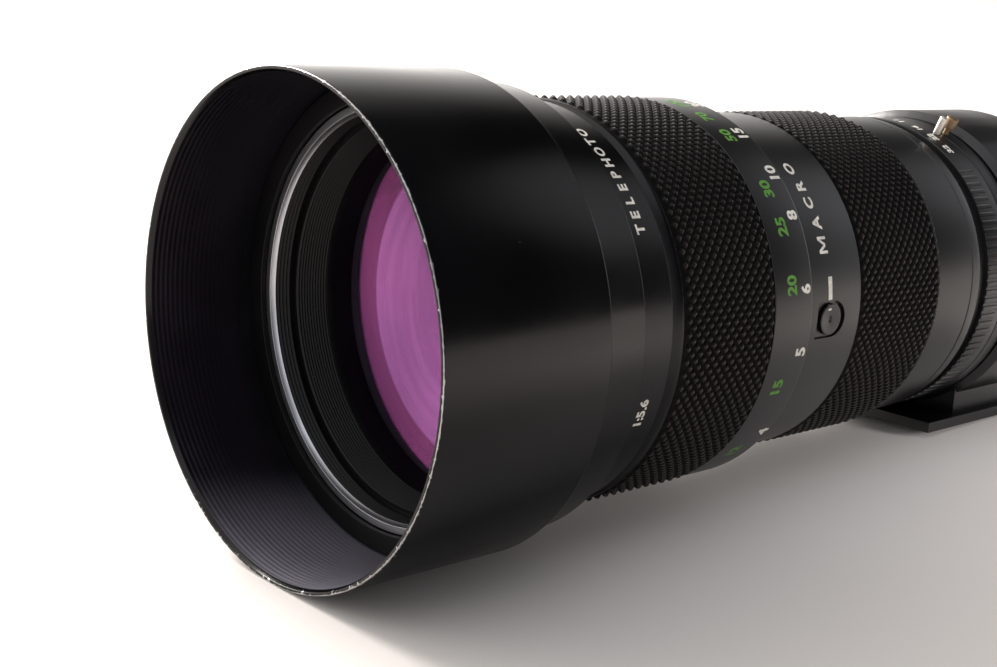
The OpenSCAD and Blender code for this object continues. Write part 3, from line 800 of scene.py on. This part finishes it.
def make_index_band(black, white):
    """The fixed band with the index line, the word for close-ups and the lock button."""
    under_scale, start, end = 46.3, SCALE - 1.5, ZOOM - 0.3
    profile = [
        (TUBE_BORE, start), (under_scale, start), (under_scale, INDEX + 0.2),
        (INDEX_R, INDEX + 0.2), (INDEX_R, end, 0.3), (TUBE_BORE, end),
    ]
    band = turned("index_band", profile, black)
    cut(band, arch_tool(half_width=4.6, front=-5.6, rear_centre=1.0, floor_r=44.4, top_r=48))
    stands_for(band, "index_ring")
    row = RIM + 131
    word = zip("MACRO", (22.0, 29.2, 36.0, 42.3, 49.1))
    marks = [(letter, angle, row) for letter, angle in word]
    lettering("macro_lettering", marks, INDEX_R, 3.2, white, "barrel", wide=1.12)
    line = RIM + 132.2
    inlay("index_line", INDEX_R, line - 0.75, line + 0.75, 4.7, 12.0, white, "barrel")
    button_r, foot = 4.0, 44.72
    button = [
        (0, foot), (button_r, foot), (button_r, INDEX_R + 0.05, 0.3), (2.9, INDEX_R - 0.05, 0.5),
        (0.75, INDEX_R - 0.3, 0.2), (0.55, INDEX_R - 0.6), (0, INDEX_R - 0.6),
    ]
    cap = studded("macro_button_cap", button, black, BUTTON_ANGLE, BUTTON_Y)
    stands_for(cap, "macro_button")
    inlay("button_line", INDEX_R, line - 0.65, line + 0.65, 1.4, 3.2, white, "macro_lock")


def make_button_spring(steel):
    """A conical coil under the button, at rest; its turns narrow so that they could close into each
    other, but it is not made to be pressed here.
    """
    base, top, wire = 43.14, 44.66, 0.1
    wide, narrow = 3.2, 2.3
    turns, steps, sides = 3, 32, 8
    count = turns * steps
    points = []
    for i in range(count + 1):
        a = 2 * math.pi * i / steps
        share = i / count
        height = base + wire + (top - base - 2 * wire) * share
        for k in range(sides):
            b = 2 * math.pi * k / sides
            q = wide + (narrow - wide) * share + wire * math.cos(b)
            points.append((q * math.cos(a), height + wire * math.sin(b), q * math.sin(a)))
    faces = [tuple(range(sides)), tuple(range(count * sides, (count + 1) * sides))]
    for i in range(count):
        for k in range(sides):
            n = (k + 1) % sides
            faces.append((i * sides + k, (i + 1) * sides + k, (i + 1) * sides + n, i * sides + n))
    spring = new_piece("button_spring", points, faces, steel)
    spring.data.transform(outwards(BUTTON_ANGLE, BUTTON_Y))
    stands_for(spring, "macro_spring")
    a = math.radians(BUTTON_ANGLE)
    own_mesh(spring)


# ---------- zoom grip, rear housing and aperture ring ----------

def make_zoom_grip():
    grip = knurled_black("zoom_grip_black", 45.7, 0.75)
    knurls = knurl("zoom_knurl", 44.25, 44.95, 45.7, ZOOM, ZOOM_END, 184, 25, grip)
    stands_for(knurls, "zoom_grip")


def make_rear_housing(black):
    """The band behind the zoom grip, and the spigot inside that carries the aperture ring."""
    spigot_in, spigot_out, groove_floor = 38.5, 41, 42.2
    web_r, pocket_r, pocket = 34, 40.6, BAND + 4.3
    web, web_end = GROOVE - 4.5, GROOVE - 1.5
    line = GROOVE - 3.9
    profile = [
        (TUBE_BORE, BAND), (BAND_R, BAND, 0.25), (BAND_R, line - 0.35), (BAND_R - 0.4, line),
        (BAND_R, line + 0.35), (BAND_R, GROOVE, 0.35), (groove_floor, GROOVE),
        (groove_floor, APERTURE - 0.1), (spigot_out, APERTURE - 0.1), (spigot_out, STOP_END),
        (spigot_in, STOP_END), (spigot_in, web_end), (web_r, web_end), (web_r, web),
        (pocket_r, web), (pocket_r, pocket), (TUBE_BORE, pocket),
    ]
    stands_for(turned("rear_band", profile, black), "rear_housing")


def make_aperture_ring(black, white, bright, bronze):
    """The aperture ring with its axial grooves, the ring behind it, and the stud and knob."""
    rib_pitch, first_rib, rib_span, rib_len, depth = 3.1, 46.0, 106.0, 7.0, 0.4
    groove_half = 0.62

    def ribs(r, y, angle):
        turn = (first_rib - angle) % 360
        in_groove = abs((turn + rib_pitch / 2) % rib_pitch - rib_pitch / 2) < groove_half
        if turn < rib_span and in_groove and r > APERTURE_R - 0.3 and y < rib_end:
            return r - depth
        return r

    rib_end, end = APERTURE + rib_len, STOP - 0.25
    profile = [
        (RING_BORE, APERTURE), (APERTURE_R, APERTURE, 0.35), (APERTURE_R, rib_end),
        (APERTURE_R, rib_end + 0.2), (APERTURE_R, end, 0.25), (RING_BORE, end),
    ]
    stands_for(turned("f_stop_ring", profile, black, 1152, ribs), "aperture_ring")
    figures = (("5.6", 100.0), ("8", 90.5), ("11", 82.0), ("16", 73.5), ("22", 65.5), ("32", 57.5))
    row = APERTURE + 4.0
    lettering("f_stop_figures", [(t, a, row) for t, a in figures], APERTURE_R, 2.6, white, "aperture")
    stop = [
        (RING_BORE, STOP), (APERTURE_R, STOP, 0.25), (APERTURE_R, STOP_END, 0.35),
        (RING_BORE, STOP_END),
    ]
    stands_for(turned("closing_ring", stop, black), "stop_down_ring")
    top = APERTURE_R + 5.4
    angle, station = pin_place("aperture_stud")
    stud_r, seat = 1.1, 43.7
    stud = [
        (0, PIN_ROOT), (PIN_R, PIN_ROOT), (PIN_R, seat), (stud_r, seat, 0.1),
        (stud_r, top - 0.15, 0.4), (0, top, 0.2),
    ]
    stands_for(studded("f_stop_stud", stud, bright, angle, station), "aperture_stud")
    angle, station = pin_place("stop_down_knob")
    knob_r, neck = 1.8, APERTURE_R + 1.9
    knob = [
        (0, PIN_ROOT), (PIN_R, PIN_ROOT), (PIN_R, neck, 0.1), (knob_r, neck + 0.1, 0.3),
        (knob_r, top - 0.1, 0.6), (0, top),
    ]
    stands_for(studded("closing_knob", knob, bronze, angle, station), "stop_down_knob")


# ---------- lettering of the front band ----------

def make_name_lettering(white):
    row = RIM + 64.6
    first, last = 30.3, 62.5
    word = "TELEPHOTO"
    step = (last - first) / (len(word) - 1)
    marks = [(letter, first + step * i, row) for i, letter in enumerate(word)]
    lettering("band_lettering", marks, FRONT_R, 2.7, white, "front_group", wide=1.05)
    marks = [("1:5.6", -18.0, row)]
    lettering("ratio_lettering", marks, FRONT_R, 2.7, white, "front_group")


# ---------- what stays from the CAD ----------

def finish_cad_nodes(finishes):
    """Every CAD node takes its slot's material, and the ones seen from outside get soft edges."""
    eased = {
        "tripod_collar": 0.5, "foot_plate": 0.4, "collar_lock_knob": 0.35,
        "bayonet_ring": 0.15, "rear_barrel": 0.25,
    }
    for name, node in frame["nodes"].items():
        node.data.materials.clear()
        node.data.materials.append(finishes[SLOT_OF[name]])
        if name in eased:
            weld = node.modifiers.new("weld", "WELD")
            weld.merge_threshold = 1e-6
            bevel = node.modifiers.new("ease", "BEVEL")
            bevel.width = eased[name] * MM
            bevel.segments = 3
            bevel.limit_method = "ANGLE"
            bevel.angle_limit = math.radians(40)
            bevel.harden_normals = True


# ---------- stage ----------

def make_floor():
    """A pale table under the two lines that the lens rests on: hood's rim and foot's rear edge."""
    rim_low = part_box("lens_hood")[0].z
    foot_low, foot_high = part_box("foot_plate")
    rear = foot_high.y
    slope = (foot_low.z - rim_low) / (rear - RIM * MM)
    half = 6.0
    points = []
    for x in (-half, half):
        for y in (-half, half):
            points.append((x / MM, y / MM, (rim_low + (y - RIM * MM) * slope) / MM))
    g = Graph("table_top")
    patch = g.noise(4, 3)
    grain = g.noise(900, 2)
    g.bump(grain, 0.03)
    tint = g.mix(g.ramp(patch, 0.3, 0.7), (0.78, 0.735, 0.7), (0.82, 0.78, 0.75))
    floor = new_piece("table", points, [(0, 1, 3, 2)], g.paint(Base_Color=tint, Roughness=0.7))
    light_table(floor, rim_low)


def light_table(floor, height):
    """A weak lamp for the light that a pale room throws onto the table beside the barrel.

    It lights only the table, which a real lamp wouldn't."""
    place, target = Vector((0.5, 0.12, 0.12)), Vector((0.02, -0.06, height))
    bounce = bpy.data.lights.new("bounce", "SPOT")
    bounce.energy = 8
    bounce.color = (1.0, 0.96, 0.94)
    bounce.spot_size = math.radians(32)
    bounce.spot_blend = 1
    bounce.shadow_soft_size = 0.08
    lamp = bpy.data.objects.new("bounce", bounce)
    bpy.context.scene.collection.objects.link(lamp)
    lamp.location = place
    lamp.rotation_mode = "QUATERNION"
    lamp.rotation_quaternion = (target - place).to_track_quat("-Z", "Y")
    only_table = bpy.data.collections.new("only_table")
    only_table.objects.link(floor)
    lamp.light_linking.receiver_collection = only_table


def make_camera():
    """The photograph's view: from low beside the hood's mouth, with the camera tilted a little."""
    azimuth, elevation, roll = math.radians(-42.19), math.radians(12.42), math.radians(3.2)
    place = (0.26046, -0.44848, 0.07078)
    data = bpy.data.cameras.new("camera")
    data.lens = 54.206
    data.sensor_width = 36
    data.clip_start = 0.01
    camera = bpy.data.objects.new("camera", data)
    bpy.context.scene.collection.objects.link(camera)
    heading = Matrix.Rotation(azimuth + math.pi / 2, 4, "Z")
    pitch = Matrix.Rotation(math.pi / 2 - elevation, 4, "X")
    turn = heading @ pitch @ Matrix.Rotation(roll, 4, "Z")
    camera.matrix_world = Matrix.Translation(place) @ turn
    bpy.context.scene.camera = camera


def make_light():
    """A broad bright window side at -X, a dim room at +X, and a softened low sun for the shadow."""
    world = bpy.data.worlds.new("studio")
    bpy.context.scene.world = world
    world.use_nodes = True
    tree = world.node_tree
    background = tree.nodes["Background"]
    direction = tree.nodes.new("ShaderNodeTexCoord").outputs["Generated"]
    parts = tree.nodes.new("ShaderNodeSeparateXYZ")
    tree.links.new(direction, parts.inputs["Vector"])

    def node(kind, operation, *values):
        made = tree.nodes.new(kind)
        made.operation = operation
        for socket, value in zip(made.inputs, values):
            if isinstance(value, bpy.types.NodeSocket):
                tree.links.new(value, socket)
            else:
                socket.default_value = value
        return made.outputs["Value"]

    def ramp(socket, low, high, out_low, out_high):
        made = tree.nodes.new("ShaderNodeMapRange")
        made.interpolation_type = "SMOOTHSTEP"
        tree.links.new(socket, made.inputs["Value"])
        limits = {"From Min": low, "From Max": high, "To Min": out_low, "To Max": out_high}
        for key, number in limits.items():
            made.inputs[key].default_value = number
        return made.outputs["Result"]

    x, y, z = parts.outputs

    def product(first, second):
        return node("ShaderNodeMath", "MULTIPLY", first, second)

    left = product(ramp(x, -0.78, -0.28, 2.3, 0.0), ramp(z, 0.6, 0.95, 1.0, 0.5))
    front = ramp(y, -0.75, -0.3, 1.1, 0.0)
    ceiling = product(ramp(z, 0.66, 0.9, 0.0, 1.0), ramp(y, 0.2, 0.5, 1.0, 0.0))
    right = product(ramp(x, 0.0, 0.5, 0.0, 0.15), ramp(y, 0.0, 0.35, 1.0, 0.0))
    back = ramp(y, 0.92, 0.98, 0.0, 2.5)
    panel_direction = Vector((0.2, 0.85, 0.5)).normalized()
    facing = node("ShaderNodeVectorMath", "DOT_PRODUCT", direction, panel_direction)
    panel = ramp(facing, 0.94, 0.995, 0.0, 0.6)
    strength = 0.03  # the dim room
    for part in (left, front, ceiling, right, back, panel):
        strength = node("ShaderNodeMath", "ADD", part, strength)
    tree.links.new(strength, background.inputs["Strength"])
    warm = tree.nodes.new("ShaderNodeMix")
    warm.data_type = "RGBA"
    tree.links.new(ramp(x, -0.3, 0.1, 0.0, 1.0), warm.inputs["Factor"])
    colours = [socket for socket in warm.inputs if socket.type == "RGBA"]
    colours[0].default_value = (1.0, 0.96, 0.92, 1)
    colours[1].default_value = (0.95, 0.96, 1.0, 1)
    result = [socket for socket in warm.outputs if socket.type == "RGBA"][0]
    tree.links.new(result, background.inputs["Color"])

    sun = bpy.data.lights.new("window", "SUN")
    sun.energy = 5.2
    sun.angle = math.radians(30)
    sun.color = (1.0, 0.96, 0.92)
    window = bpy.data.objects.new("window", sun)
    bpy.context.scene.collection.objects.link(window)
    elevation = math.radians(31)
    travel = Vector((math.cos(elevation), 0.02, -math.sin(elevation)))
    window.rotation_mode = "QUATERNION"
    window.rotation_quaternion = travel.to_track_quat("-Z", "Y")
    bpy.context.scene.view_settings.view_transform = "Standard"


# ---------- the whole lens ----------

def make_lens():
    finishes = make_finishes()
    white = engraving("engraved_white", (0.84, 0.81, 0.74))
    green = engraving("engraved_green", (0.1, 0.3, 0.035))
    band_black = anodised("band_black", (0.002, 0.0019, 0.0026), 0.25, 0.5, dust=0.06)
    inside = flocked("barrel_inside", (0.0022, 0.0019, 0.0022), 0.4)
    hood_inside = finishes["hood_inside"]
    satin = finishes["satin_black"]
    make_hood(hood_inside)
    make_clamp(inside)
    make_filter_ring(finishes["bare_ring"], inside)
    make_front_barrel(band_black)
    make_baffle(inside)
    make_front_optics(inside, finishes["coated_front"], finishes["coated_inner"])
    make_name_lettering(white)
    make_focus_ring(band_black, finishes["grip_black"])
    make_distance_scale(satin, white, green)
    make_index_band(satin, white)
    make_button_spring(finishes["steel"])
    make_zoom_grip()
    make_rear_housing(satin)
    make_aperture_ring(satin, white, finishes["stud_bright"], finishes["knob_bronze"])
    finish_cad_nodes(finishes)


make_camera()
make_light()
make_floor()
make_lens()
